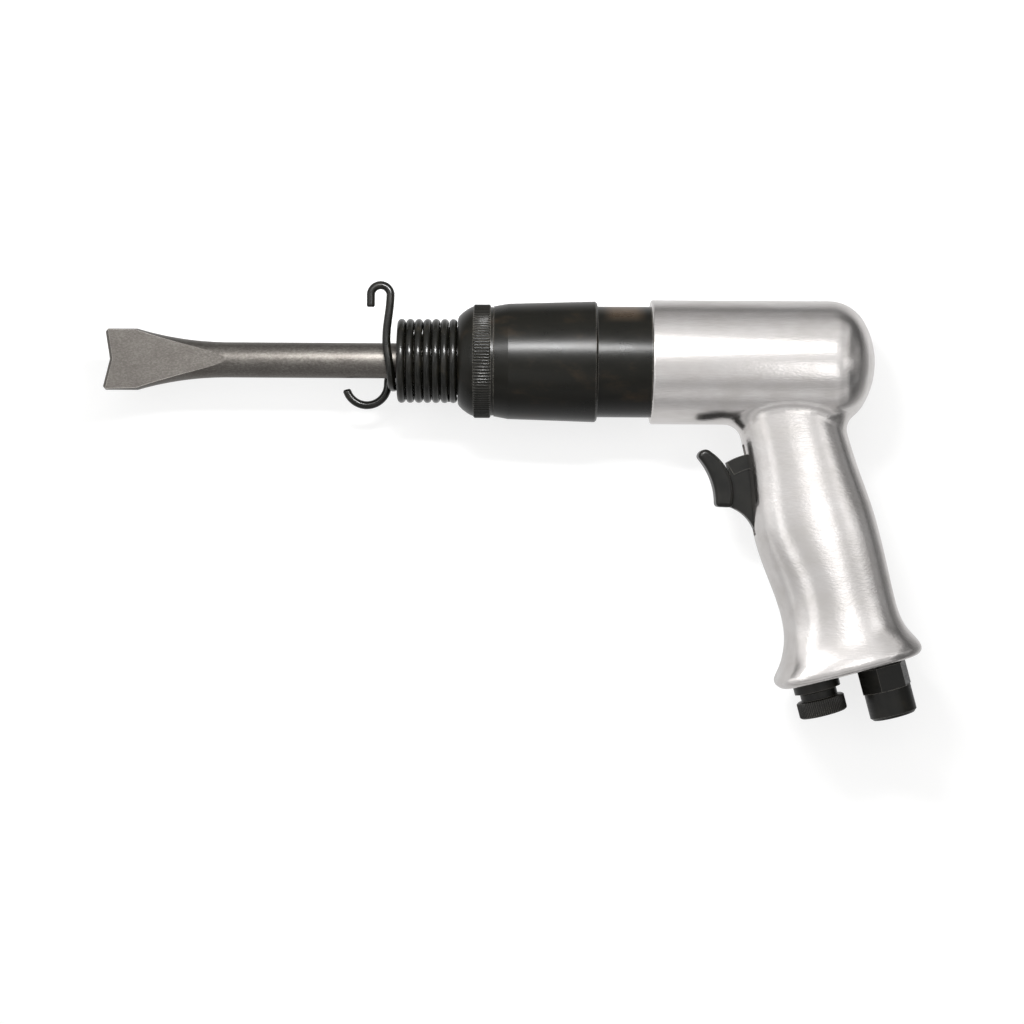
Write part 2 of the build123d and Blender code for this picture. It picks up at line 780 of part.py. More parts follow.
with BuildPart() as trigger:
    # The finger blade, hollowed for the finger
    with BuildSketch(grip) as blade:
        with BuildLine():
            ThreePointArc(blade_top, blade_hollow, blade_toe)
            Line(blade_toe, blade_heel)
            ThreePointArc(blade_heel, blade_back, blade_crown)
            ThreePointArc(blade_crown, blade_tip_mid, blade_top)
        make_face()
        fillet(blade.vertices(), radius=blade_corner)
    extrude(amount=blade_width / 2, both=True)
    fillet(trigger.faces().filter_by(Axis.Y).edges(), radius=blade_round)
    # The web, a fan about the pivot with a boss round the pin
    with BuildSketch(grip):
        with BuildLine():
            ThreePointArc(
                on_rim(trigger_rim_radius, -rim_start_angle),
                on_rim(trigger_rim_radius, (back_angle - rim_start_angle) / 2),
                on_rim(trigger_rim_radius, back_angle),
            )
            Line(on_rim(trigger_rim_radius, back_angle), on_rim(pivot_boss_radius, pi / 2))
            ThreePointArc(
                on_rim(pivot_boss_radius, pi / 2),
                on_rim(pivot_boss_radius, pi),
                on_rim(pivot_boss_radius, -2 * pi / 3),
            )
            ThreePointArc(on_rim(pivot_boss_radius, -2 * pi / 3), web_hollow, blade_heel)
            Polyline(blade_heel, blade_back, on_rim(trigger_rim_radius, -rim_start_angle))
        make_face()
    extrude(amount=trigger_web / 2, both=True)
    # The raised rim along the top of the fan
    with BuildSketch(grip):
        with BuildLine():
            ThreePointArc(
                on_rim(trigger_rim_radius, -rim_start_angle),
                on_rim(trigger_rim_radius, (back_angle - rim_start_angle) / 2),
                on_rim(trigger_rim_radius, back_angle),
            )
            Line(on_rim(trigger_rim_radius, back_angle), on_rim(trigger_step_radius, back_angle))
            ThreePointArc(
                on_rim(trigger_step_radius, back_angle),
                on_rim(trigger_step_radius, (back_angle - rim_start_angle) / 2),
                on_rim(trigger_step_radius, -rim_start_angle),
            )
            Line(
                on_rim(trigger_step_radius, -rim_start_angle),
                on_rim(trigger_rim_radius, -rim_start_angle),
            )
        make_face()
    extrude(amount=trigger_rim / 2, both=True)
    with BuildSketch(grip):
        with Locations(pivot):
            Circle(pivot_pin_radius + running_gap)
    extrude(amount=blade_width, both=True, mode=Mode.SUBTRACT)
trigger.part.label = "trigger"
export_step(trigger.part, "parts/trigger.step")

with BuildPart() as trigger_pin:
    with BuildSketch(Plane(origin=on_grip(pivot_depth, pivot_height, -pin_near_end), z_dir=(0, 1, 0))):
        Circle(pivot_pin_radius - running_gap / 2)
    extrude(amount=pin_near_end + pin_far_end)
trigger_pin.part.label = "trigger_pin"
export_step(trigger_pin.part, "parts/trigger_pin.step")

with BuildPart() as throttle_bush:
    with BuildSketch(through_grip(bush_front, throttle_height)):
        Circle(throttle_bush_radius - running_gap)
        Circle(stem_radius + running_gap, mode=Mode.SUBTRACT)
    extrude(amount=throttle_bush_length)
    with BuildSketch(through_grip(bush_front + throttle_bush_length / 2, throttle_height)):
        Circle(throttle_head_radius - throttle_seal_length)
    extrude(amount=throttle_bush_length / 2, mode=Mode.SUBTRACT)
throttle_bush.part.label = "throttle_bush"
export_step(throttle_bush.part, "parts/throttle_bush.step")

# The trigger's back edge, at the height of the throttle stem, when it is let go
lever = throttle_height - pivot_height
edge_top = on_rim(trigger_rim_radius, back_angle)
edge_foot = on_rim(pivot_boss_radius, pi / 2)
edge_share = lever / (edge_top[1] - edge_foot[1])
stem_front = edge_foot[0] + edge_share * (edge_top[0] - edge_foot[0]) + loose_gap

with BuildPart() as throttle_valve:
    with BuildSketch(through_grip(stem_front, throttle_height)):
        Circle(stem_radius)
    extrude(amount=head_front - stem_front)
    tip = throttle_valve.faces().sort_by(Axis(grip.origin, grip.x_dir))[0]
    fillet(tip.edges(), radius=0.9 * stem_radius)
    with BuildSketch(through_grip(head_front, throttle_height)):
        Circle(throttle_head_radius)
    extrude(amount=throttle_head_length)
throttle_valve.part.label = "throttle_valve"
export_step(throttle_valve.part, "parts/throttle_valve.step")

with BuildPart() as throttle_seal:
    with BuildSketch(through_grip(seal_front, throttle_height)):
        Circle(throttle_head_radius)
        Circle(stem_radius + running_gap, mode=Mode.SUBTRACT)
    extrude(amount=throttle_seal_length)
throttle_seal.part.label = "throttle_seal"
export_step(throttle_seal.part, "parts/throttle_seal.step")

# The throttle spring, an open coil between the valve's head and the end of its bore
coil_run = throttle_spring_length - throttle_spring_wire
coil_start = head_end + running_gap + throttle_spring_wire / 2
coil_advance = coil_run / (2 * pi * throttle_spring_turns * throttle_spring_radius)
with BuildPart() as throttle_spring:
    with BuildLine() as coil:
        quarter_stops = []
        for quarter in range(4 * throttle_spring_turns + 1):
            angle = quarter * pi / 2
            depth = coil_start + coil_run * quarter / (4 * throttle_spring_turns)
            height = throttle_height + throttle_spring_radius * cos(angle)
            place = on_grip(depth, height, throttle_spring_radius * sin(angle))
            way = on_grip(coil_advance, -sin(angle), cos(angle)).normalized()
            quarter_stops.append((place, way))
        for (start, start_way), (end, end_way) in zip(quarter_stops, quarter_stops[1:]):
            double_arc(start, start_way, end, end_way)
    with BuildSketch(Plane(origin=coil.line @ 0, z_dir=coil.line % 0)):
        Circle(throttle_spring_wire / 2)
    sweep(path=coil.line)
throttle_spring.part.label = "throttle_spring"
export_step(throttle_spring.part, "parts/throttle_spring.step")
throttle_coil_gap = coil_run / throttle_spring_turns - throttle_spring_wire
print("throttle_spring least gap", round(throttle_coil_gap, 3))

with BuildPart() as inlet_seal:
    with BuildSketch(across_grip(inlet_depth, hex_top)):
        Circle(inlet_seal_radius)
        Circle(inlet_spigot_radius + thread_gap, mode=Mode.SUBTRACT)
    extrude(amount=inlet_seal_length)
inlet_seal.part.label = "inlet_seal"
export_step(inlet_seal.part, "parts/inlet_seal.step")

with BuildPart() as inlet_bushing:
    with BuildSketch(across_grip(inlet_depth, inlet_mouth)):
        Circle(inlet_round_radius)
    extrude(amount=inlet_round_length)
    chamfer(inlet_bushing.faces().sort_by(Axis(grip.origin, grip.y_dir))[0].edges(), length=inlet_chamfer)
    with BuildSketch(across_grip(inlet_depth, hex_end)):
        RegularPolygon(inlet_hex_flats / 2, 6, major_radius=False, rotation=inlet_hex_turn)
    extrude(amount=inlet_hex_length)
    with BuildSketch(across_grip(inlet_depth, hex_top)):
        Circle(inlet_spigot_radius)
    extrude(amount=spigot_top - hex_top)
    with BuildSketch(across_grip(inlet_depth, inlet_mouth)):
        Circle(inlet_bore_radius)
    extrude(amount=spigot_top - inlet_mouth, mode=Mode.SUBTRACT)
    with BuildSketch(across_grip(inlet_depth, inlet_mouth)):
        Circle(inlet_thread_radius)
    extrude(amount=inlet_thread_length, mode=Mode.SUBTRACT)
    with BuildSketch(across_grip(inlet_depth, spigot_top)):
        Circle(screen_radius)
    extrude(amount=-screen_length, mode=Mode.SUBTRACT)
inlet_bushing.part.label = "inlet_bushing"
export_step(inlet_bushing.part, "parts/inlet_bushing.step")

with BuildPart() as inlet_screen:
    with BuildSketch(across_grip(inlet_depth, spigot_top)):
        Circle(screen_radius - running_gap)
        with PolarLocations(screen_hole_reach, screen_hole_count):
            Circle(screen_hole_radius, mode=Mode.SUBTRACT)
    extrude(amount=-screen_length)
inlet_screen.part.label = "inlet_screen"
export_step(inlet_screen.part, "parts/inlet_screen.step")

with BuildPart() as regulator_bush:
    with BuildSketch(across_grip(regulator_depth, base)):
        Circle(regulator_flange_radius)
    extrude(amount=-regulator_flange_length)
    with BuildSketch(across_grip(regulator_depth, base)):
        Circle(regulator_spigot_radius)
    extrude(amount=regulator_spigot_length)
    with BuildSketch(across_grip(regulator_depth, base - regulator_flange_length)):
        Circle(regulator_stem_radius + running_gap)
    extrude(amount=regulator_flange_length + regulator_spigot_length, mode=Mode.SUBTRACT)
regulator_bush.part.label = "regulator_bush"
export_step(regulator_bush.part, "parts/regulator_bush.step")

clip_bottom = regulator_spigot_top + loose_gap
seal_place = base + stem_seal_place
with BuildPart() as regulator_knob:
    with BuildSketch(across_grip(regulator_depth, knob_end)):
        Circle(regulator_head_radius)
    extrude(amount=regulator_head_length)
    chamfer(regulator_knob.edges(), length=regulator_head_edge)
    with BuildSketch(across_grip(regulator_depth, knob_head_top)):
        Circle(regulator_neck_radius)
    extrude(amount=regulator_neck_length)
    with BuildSketch(across_grip(regulator_depth, knob_head_top)):
        Circle(regulator_stem_radius)
    extrude(amount=stem_top - knob_head_top)
    # Grooves for the stem's seal and clip, and the metering flat at its tip
    for groove, width in ((seal_place - stem_seal_wire / 2, stem_seal_wire), (clip_bottom, clip_thickness)):
        with BuildSketch(across_grip(regulator_depth, groove)):
            Circle(2 * regulator_stem_radius)
            Circle(regulator_stem_radius - clip_groove_depth, mode=Mode.SUBTRACT)
        extrude(amount=width, mode=Mode.SUBTRACT)
    with BuildSketch(across_grip(regulator_depth, stem_top)):
        with Locations((regulator_stem_radius, 0)):
            Rectangle(2 * regulator_stem_radius, 2 * regulator_stem_radius)
    extrude(amount=-regulator_notch, mode=Mode.SUBTRACT)
regulator_knob.part.label = "regulator_knob"
export_step(regulator_knob.part, "parts/regulator_knob.step")

with BuildPart() as regulator_seal:
    ring_seal(
        across_grip(regulator_depth, seal_place),
        regulator_stem_radius - clip_groove_depth / 2,
        clip_groove_depth - running_gap,
    )
regulator_seal.part.label = "regulator_seal"
export_step(regulator_seal.part, "parts/regulator_seal.step")

with BuildPart() as regulator_clip:
    with BuildSketch(across_grip(regulator_depth, clip_bottom)):
        Circle(clip_radius)
        Circle(regulator_stem_radius - clip_groove_depth + running_gap, mode=Mode.SUBTRACT)
        with Locations((clip_radius, 0)):
            Rectangle(2 * clip_radius, regulator_stem_radius, mode=Mode.SUBTRACT)
    extrude(amount=clip_thickness)
regulator_clip.part.label = "regulator_clip"
export_step(regulator_clip.part, "parts/regulator_clip.step")
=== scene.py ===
from math import cos, pi, radians, sin, tan

import bmesh
import bpy
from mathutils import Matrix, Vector


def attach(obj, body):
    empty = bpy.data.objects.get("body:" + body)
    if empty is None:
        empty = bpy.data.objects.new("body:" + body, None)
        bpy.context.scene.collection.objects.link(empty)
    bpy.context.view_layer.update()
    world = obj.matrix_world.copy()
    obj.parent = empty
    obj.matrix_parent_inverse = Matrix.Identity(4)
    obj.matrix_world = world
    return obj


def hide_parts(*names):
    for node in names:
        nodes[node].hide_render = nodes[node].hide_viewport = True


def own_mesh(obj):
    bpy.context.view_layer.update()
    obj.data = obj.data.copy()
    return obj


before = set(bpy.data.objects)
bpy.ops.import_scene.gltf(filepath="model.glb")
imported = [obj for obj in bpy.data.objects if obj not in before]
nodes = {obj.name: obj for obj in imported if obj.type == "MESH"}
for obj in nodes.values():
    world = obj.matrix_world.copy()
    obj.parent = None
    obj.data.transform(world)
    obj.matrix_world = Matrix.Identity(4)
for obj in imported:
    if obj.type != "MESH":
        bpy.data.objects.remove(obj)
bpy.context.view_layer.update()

# Handle housing: body, dome and pistol grip in one casting of aluminium alloy, sanded along its
# length on a belt and polished to a satin. Every other piece screws or slides into it.


def srgb(code):
    """A hex colour as linear red, green, blue and alpha."""
    parts = [int(code[place : place + 2], 16) / 255 for place in (1, 3, 5)]
    return [v / 12.92 if v <= 0.04045 else ((v + 0.055) / 1.055) ** 2.4 for v in parts] + [1.0]


def add(material, kind, links=(), stops=(), **settings):
    """A node with settings, links (input, output socket) and a ramp's stops (place, colour)."""
    made = material.node_tree.nodes.new(kind)
    for name, value in settings.items():
        if hasattr(made, name):
            setattr(made, name, value)
        else:
            made.inputs[name.replace("_", " ")].default_value = value
    for place, colour in stops[1:-1]:
        made.color_ramp.elements.new(place).color = colour
    for end in (0, -1) if stops else ():
        made.color_ramp.elements[end].position, made.color_ramp.elements[end].color = stops[end]
    for name, socket in links:
        material.node_tree.links.new(socket, made.inputs[name])
    return made


def surface(name):
    """A material with an empty node tree, named for what the surface really is."""
    made = bpy.data.materials.new(name)
    made.use_nodes = True
    made.node_tree.nodes.clear()
    return made


def marks(material, length, width, height, **settings):
    """Uneven marks as long, wide and high as given, in millimetres along the tool's own axes."""
    place = add(material, "ShaderNodeTexCoord")
    sized = add(
        material,
        "ShaderNodeMapping",
        [("Vector", place.outputs["Object"])],
        Scale=(1000 / length, 1000 / width, 1000 / height),
    )
    return add(
        material, "ShaderNodeTexNoise", [("Vector", sized.outputs[0])], Scale=1.0, **settings
    )


def dress(material, shader, *names):
    """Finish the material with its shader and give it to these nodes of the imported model."""
    add(material, "ShaderNodeOutputMaterial", [("Surface", shader.outputs[0])])
    for name in names:
        nodes[name].data.materials.clear()
        nodes[name].data.materials.append(material)


# Satin polished cast aluminium: soft broad reflections drawn out along the belt's way, with cloudy
# patches and slow waves where the wheel pressed more, and a fine grain. The belt lines and the
# grain are drawn at about half a millimetre, coarser than real ones, so that they show.
aluminium = surface("satin polished cast aluminium")
belt_share = 0.34  # how much the belt lines count beside the clouds
belt = marks(aluminium, 9, 0.5, 0.5, Detail=2.0)
clouds = marks(aluminium, 13, 9, 9, Detail=2.0, Roughness=0.6)
mixed = add(
    aluminium,
    "ShaderNodeMath",
    [(0, belt.outputs["Fac"]), (2, clouds.outputs["Fac"])],
    operation="MULTIPLY_ADD",
)
mixed.inputs[1].default_value = belt_share
tone = add(
    aluminium,
    "ShaderNodeValToRGB",
    [("Fac", mixed.outputs[0])],
    stops=((0.5, srgb("#dcd8d5")), (0.7, srgb("#e3dfdd")), (0.9, srgb("#e9e6e4"))),
)
polish = add(
    aluminium,
    "ShaderNodeMapRange",
    [("Value", mixed.outputs[0])],
    From_Min=0.5,
    From_Max=0.9,
    To_Min=0.245,
    To_Max=0.205,
)
waves = marks(aluminium, 11, 9, 11, Detail=1.0)
hand = add(
    aluminium,
    "ShaderNodeBump",
    [("Height", waves.outputs["Fac"])],
    Strength=0.16,
    Distance=0.0003,
)
specks = marks(aluminium, 1.5, 0.6, 0.6, Detail=2.0)
grain = add(
    aluminium,
    "ShaderNodeBump",
    [("Height", specks.outputs["Fac"]), ("Normal", hand.outputs[0])],
    Strength=0.4,
    Distance=0.0001,
)
shader = add(
    aluminium,
    "ShaderNodeBsdfPrincipled",
    [
        ("Base Color", tone.outputs[0]),
        ("Roughness", polish.outputs[0]),
        ("Normal", grain.outputs[0]),
    ],
    Metallic=1.0,
)
dress(aluminium, shader, "handle_housing")

# Valve block, piston and pins: small turned and ground steel pieces inside the body. They are
# stacked behind the barrel, and the piston flies in its bore.

# Ground steel: bright grey with fine grinding lines round the piece.
ground_steel = surface("ground steel")
lines = marks(ground_steel, 0.4, 5, 5, Detail=2.0)
tone = add(
    ground_steel,
    "ShaderNodeValToRGB",
    [("Fac", lines.outputs["Fac"])],
    stops=((0.35, srgb("#a9a9ab")), (0.65, srgb("#c6c6c8"))),
)
polish = add(
    ground_steel, "ShaderNodeMapRange", [("Value", lines.outputs["Fac"])], To_Min=0.22, To_Max=0.42
)
shader = add(
    ground_steel,
    "ShaderNodeBsdfPrincipled",
    [("Base Color", tone.outputs[0]), ("Roughness", polish.outputs[0])],
    Metallic=1.0,
)
dress(
    ground_steel,
    shader,
    "piston",
    "valve_case",
    "valve_disc",
    "valve_plate",
    "valve_dowels",
    "trigger_pin",
    "throttle_valve",
    "regulator_clip",
)

# Seals and gasket: moulded nitrile rubber rings and a flat gasket. They are squeezed in their
# grooves or between two faces when the tool is screwed together.

# Moulded nitrile rubber: dull charcoal with a faint bloom.
rubber = surface("moulded nitrile rubber")
bloom = marks(rubber, 3, 3, 3, Detail=3.0)
tone = add(
    rubber,
    "ShaderNodeValToRGB",
    [("Fac", bloom.outputs["Fac"])],
    stops=((0.35, srgb("#171716")), (0.7, srgb("#232321"))),
)
dull = add(
    rubber, "ShaderNodeMapRange", [("Value", bloom.outputs["Fac"])], To_Min=0.55, To_Max=0.75
)
shader = add(
    rubber,
    "ShaderNodeBsdfPrincipled",
    [("Base Color", tone.outputs[0]), ("Roughness", dull.outputs[0])],
)
dress(
    rubber,
    shader,
    "sleeve_seals",
    "valve_gasket",
    "throttle_seal",
    "inlet_seal",
    "regulator_seal",
)

# Barrel and exhaust sleeve: turned steel, blacked in hot salts and oiled. The barrel screws into
# the housing, its plain ring shows, and the sleeve slips over the ports in front of the ring.


def worn_edges(material, reach):
    """How near a point is to an edge, from 0 to 1 within the reach in millimetres."""
    rounded = add(material, "ShaderNodeBevel", samples=6, Radius=reach / 1000)
    square = add(material, "ShaderNodeNewGeometry")
    across = add(
        material,
        "ShaderNodeVectorMath",
        [(0, rounded.outputs[0]), (1, square.outputs["Normal"])],
        operation="DOT_PRODUCT",
    )
    return add(
        material,
        "ShaderNodeMapRange",
        [("Value", across.outputs["Value"])],
        From_Min=0.985,
        From_Max=0.88,
    )


# Oiled black oxide: near black with a brown cast in patches, a soft sheen from the oxide and a
# sharper one from the oil, faint turning lines and grey steel showing on rubbed edges. On top of
# the barrel's ring the colour turns a dull brown.
black_oxide = surface("oiled black oxide on turned steel")
brown_place_x = -0.0694  # the middle of the brown place, in metres
brown_half_length = (0.008, 0.004)  # where the brown starts and where it is full
brown_height = (0.0785, 0.0845)
turning = marks(black_oxide, 0.6, 14, 14, Detail=2.0)
patches = marks(black_oxide, 16, 9, 9, Detail=4.0, Roughness=0.65)
tone = add(
    black_oxide,
    "ShaderNodeValToRGB",
    [("Fac", patches.outputs["Fac"])],
    stops=((0.32, srgb("#080805")), (0.55, srgb("#0c0b07")), (0.78, srgb("#21190f"))),
)
place = add(black_oxide, "ShaderNodeTexCoord")
parts = add(black_oxide, "ShaderNodeSeparateXYZ", [("Vector", place.outputs["Object"])])
aside = add(black_oxide, "ShaderNodeMath", [(0, parts.outputs["X"])], operation="ADD")
aside.inputs[1].default_value = -brown_place_x
away = add(black_oxide, "ShaderNodeMath", [(0, aside.outputs[0])], operation="ABSOLUTE")
within = add(
    black_oxide,
    "ShaderNodeMapRange",
    [("Value", away.outputs[0])],
    From_Min=brown_half_length[0],
    From_Max=brown_half_length[1],
)
above = add(
    black_oxide,
    "ShaderNodeMapRange",
    [("Value", parts.outputs["Z"])],
    From_Min=brown_height[0],
    From_Max=brown_height[1],
)
brown_mask = add(
    black_oxide,
    "ShaderNodeMath",
    [(0, within.outputs[0]), (1, above.outputs[0])],
    operation="MULTIPLY",
)
browned = add(
    black_oxide,
    "ShaderNodeMix",
    [(0, brown_mask.outputs[0]), (6, tone.outputs[0])],
    data_type="RGBA",
)
browned.inputs[7].default_value = srgb("#42362a")
edges = worn_edges(black_oxide, 0.5)
rubbed = add(
    black_oxide,
    "ShaderNodeMath",
    [(0, edges.outputs[0]), (1, patches.outputs["Fac"])],
    operation="MULTIPLY",
)
colour = add(
    black_oxide,
    "ShaderNodeMix",
    [(0, rubbed.outputs[0]), (6, browned.outputs[2])],
    data_type="RGBA",
)
colour.inputs[7].default_value = srgb("#6d6a64")
sheen = add(
    black_oxide,
    "ShaderNodeMapRange",
    [("Value", patches.outputs["Fac"])],
    From_Min=0.3,
    From_Max=0.75,
    To_Min=0.25,
    To_Max=0.36,
)
lathe = add(
    black_oxide,
    "ShaderNodeBump",
    [("Height", turning.outputs["Fac"])],
    Strength=0.1,
    Distance=0.00002,
)
shader = add(
    black_oxide,
    "ShaderNodeBsdfPrincipled",
    [
        ("Base Color", colour.outputs[2]),
        ("Roughness", sheen.outputs[0]),
        ("Normal", lathe.outputs[0]),
    ],
    Specular_IOR_Level=0.19,
    Coat_Weight=0.1,
    Coat_Roughness=0.25,
)
dress(black_oxide, shader, "barrel", "exhaust_sleeve")

# Front collar: a turned steel nut with a bowed cone in front and a straight knurl rolled round it.
# It screws on the barrel's front thread and clamps the sleeve.
barrel_place = Vector((-0.0598, 0.0, 0.0654))
collar_teeth = 110
tooth_steps = (0.0, 0.2, 1.0, 0.2)  # from the rounded crest to the sharp valley and back
same_point = 1e-7
crisp_bend = radians(41)  # the teeth's crests are shaded round, chamfers stay crisp


def beside_barrel(along, side, height):
    """A point beside the barrel's axis, from millimetres behind the housing's front face."""
    return barrel_place + Vector((along, side, height)) / 1000


def turned(name, outline, teeth, spot):
    """A closed piece turned from its half outline of (along, radius, tooth depth) points."""
    count = len(tooth_steps) * teeth
    points = []
    for along, radius, depth in outline:
        for step in range(count):
            angle = 2 * pi * step / count
            reach = radius - depth * tooth_steps[step % len(tooth_steps)]
            points.append(spot(along, reach * cos(angle), reach * sin(angle)))
    faces = []
    for ring in range(len(outline)):
        after = (ring + 1) % len(outline)
        for step in range(count):
            beyond = (step + 1) % count
            corners = (ring, step), (ring, beyond), (after, beyond), (after, step)
            faces.append([row * count + place for row, place in corners])
    mesh = bpy.data.meshes.new(name)
    mesh.from_pydata(points, [], faces)
    shape = bmesh.new()
    shape.from_mesh(mesh)
    bmesh.ops.remove_doubles(shape, verts=shape.verts, dist=same_point)
    bmesh.ops.recalc_face_normals(shape, faces=shape.faces)
    shape.to_mesh(mesh)
    shape.free()
    mesh.shade_smooth()
    mesh.set_sharp_from_angle(angle=crisp_bend)
    piece = bpy.data.objects.new(name, mesh)
    bpy.context.scene.collection.objects.link(piece)
    return piece


collar = turned(
    "knurled_collar",
    (
        (-69.1, 12.3, 0),
        (-69.1, 15.5, 0),
        (-68.7, 16.2, 0),
        (-67.4, 17.5, 0),
        (-65.9, 18.6, 0),
        (-64.5, 19.4, 0),
        (-63.5, 19.75, 0),
        (-63.5, 19.95, 0),
        (-63.1, 20.4, 0.42),
        (-57.8, 20.4, 0.42),
        (-57.4, 19.95, 0),
        (-57.4, 19.5, 0),
        (-56.5, 19.5, 0),
        (-56.3, 19.3, 0),
        (-56.3, 15.1, 0),
        (-66.8, 15.1, 0),
        (-66.8, 12.3, 0),
    ),
    collar_teeth,
    beside_barrel,
)
collar.data.materials.append(black_oxide)
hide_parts("front_collar")
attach(collar, "tool_body")

# Chisel: a forged bar of tool steel, flared at the end, with two ground flats and a notched edge
# that is bevelled. Its shank stands in the barrel behind a collar that the retainer spring holds.

# Ground tool steel: matt warm grey with fine grain along the bar, bright on its edges where the
# grinding broke through.
tool_steel = surface("forged and ground tool steel")
scale_share = 0.25  # how much the broad patches count beside the grain
grain = marks(tool_steel, 0.9, 0.5, 0.5, Detail=4.0, Roughness=0.7)
scale = marks(tool_steel, 9, 5, 5, Detail=3.0)
mixed = add(
    tool_steel,
    "ShaderNodeMath",
    [(0, scale.outputs["Fac"]), (2, grain.outputs["Fac"])],
    operation="MULTIPLY_ADD",
)
mixed.inputs[1].default_value = scale_share
tone = add(
    tool_steel,
    "ShaderNodeValToRGB",
    [("Fac", mixed.outputs[0])],
    stops=((0.48, srgb("#605c58")), (0.62, srgb("#6b6763")), (0.78, srgb("#7a7772"))),
)
edges = worn_edges(tool_steel, 0.4)
colour = add(
    tool_steel,
    "ShaderNodeMix",
    [(0, edges.outputs[0]), (6, tone.outputs[0])],
    data_type="RGBA",
)
colour.inputs[7].default_value = srgb("#bdb8b3")
matt = add(
    tool_steel,
    "ShaderNodeMapRange",
    [("Value", grain.outputs["Fac"])],
    From_Min=0.3,
    From_Max=0.7,
    To_Min=0.36,
    To_Max=0.5,
)
rough = add(
    tool_steel,
    "ShaderNodeBump",
    [("Height", grain.outputs["Fac"])],
    Strength=0.35,
    Distance=0.00004,
)
shader = add(
    tool_steel,
    "ShaderNodeBsdfPrincipled",
    [
        ("Base Color", colour.outputs[2]),
        ("Roughness", matt.outputs[0]),
        ("Normal", rough.outputs[0]),
    ],
    Metallic=1.0,
)
dress(tool_steel, shader, "chisel")

# Retainer spring: one hard drawn wire bent double and wound as a pair of strands, black from
# heat treating. It grips the barrel's nose, the thumb hook stands up and the finger hook curls
# below. The sizes are in millimetres.
wire_radius = 1.475
pitch = 3.1
turns = 7
coil_radius = 13.675
coil_front = -89.4
hook_side = 8.2
turn_places = [coil_front + pitch * turn for turn in range(turns)]
far_slope = 3 * pitch / (pi * coil_radius)


def near_half(x, way):
    """Half a turn on the near side, up or down: its middle and its end, with the wire's way."""
    return [((x, -coil_radius, 0), (0, 0, way)), ((x, 0, way * coil_radius), (0, 1, 0))]


def far_half(x, way):
    """Half a turn on the far side, two pitches along from the turn at x: its middle and its end."""
    end = x + 2 * way * pitch
    middle = ((x + end) / 2, coil_radius, 0), (way * far_slope, 0, way)
    return [middle, ((end, 0, way * coil_radius), (0, -1, 0))]


thumb_x = -93.2
finger_x = -94.8
front_x = coil_front - pitch
last_x = turn_places[-1]
fold = radians(12)
fold_side = coil_radius * sin(fold)
fold_height = -coil_radius * cos(fold)
half_pitch = pitch / 2
route = [
    ((thumb_x - 7, -hook_side, 18.7), (0, 0, 1)),
    ((thumb_x - 7, -hook_side, 19.2), (0, 0, 1)),
    ((thumb_x - 7, -hook_side, 23.0), (0, 0, 1)),
    ((thumb_x - 3.5, -hook_side, 26.45), (1, 0, 0)),
    ((thumb_x, -hook_side, 23.0), (0, 0, -1)),
    ((thumb_x - 1.4, -hook_side, 7.5), (0, 0, -1)),
    ((front_x - 0.6, -hook_side, -4.2), (0.12, 0.1, -1)),
    ((front_x, 0, -9.6), (0.1, 1, 0)),
]
for turn in range(1, turns, 2):
    route += far_half(turn_places[turn] - 2 * pitch, 1) + near_half(turn_places[turn], -1)
route += [
    ((last_x - pitch, fold_side, fold_height), (0, cos(fold), sin(fold))),
    (
        (
            last_x - half_pitch,
            fold_side + half_pitch * cos(fold),
            fold_height + half_pitch * sin(fold),
        ),
        (1, 0, 0),
    ),
    ((last_x, fold_side, fold_height), (0, -cos(fold), -sin(fold))),
    ((last_x, 0, -coil_radius), (0, -1, 0)),
]
for turn in range(turns - 1, 0, -2):
    route += near_half(turn_places[turn], 1) + far_half(turn_places[turn], -1)
route += near_half(turn_places[0], 1)
finger_bend = 7.6
finger_height = -8.1
route += [
    ((coil_front - 0.3, coil_radius * 0.8, coil_radius * 0.6), (-0.12, 0.6, -0.8)),
    ((front_x - 0.8, hook_side + 0.6, -1.5), (-0.35, -0.2, -1)),
    ((finger_x, hook_side, finger_height), (0, 0, -1)),
]
for degrees in (90, 161, 165):
    turned_by = radians(degrees)
    along = finger_x - finger_bend * (1 - cos(turned_by))
    drop = finger_height - finger_bend * sin(turned_by)
    route.append(((along, hook_side, drop), (-sin(turned_by), 0, -cos(turned_by))))
cut_end = 0.78  # the thickness of the cut ends beside that of the wire
straight_bend = 0.01  # a stretch that bends less, in radians, is drawn straight


def wire(name, stops, radius):
    """A round wire through points in the frame, each with the way the wire runs there."""
    line = bpy.data.curves.new(name, "CURVE")
    line.dimensions = "3D"
    line.resolution_u = 14
    line.bevel_depth = radius
    line.bevel_resolution = 5
    line.use_fill_caps = True
    spline = line.splines.new("BEZIER")
    spline.bezier_points.add(len(stops) - 1)
    for point, (place, _) in zip(spline.bezier_points, stops):
        point.co = place
        point.handle_left_type = point.handle_right_type = "FREE"
        point.handle_left = point.handle_right = place
    spline.bezier_points[0].radius = spline.bezier_points[-1].radius = cut_end
    for last in range(1, len(stops)):
        (start, way_out), (end, way_in) = stops[last - 1], stops[last]
        bend = way_out.angle(way_in)
        chord = (end - start).length
        pull = chord / 3
        if bend >= straight_bend:
            pull = chord * 4 / 3 * tan(bend / 4) / (2 * sin(bend / 2))
        spline.bezier_points[last - 1].handle_right = start + way_out * pull
        spline.bezier_points[last].handle_left = end - way_in * pull
    piece = bpy.data.objects.new(name, line)
    bpy.context.scene.collection.objects.link(piece)
    return piece


spring = wire(
    "retainer_wire",
    [(beside_barrel(*place), Vector(way).normalized()) for place, way in route],
    wire_radius / 1000,
)

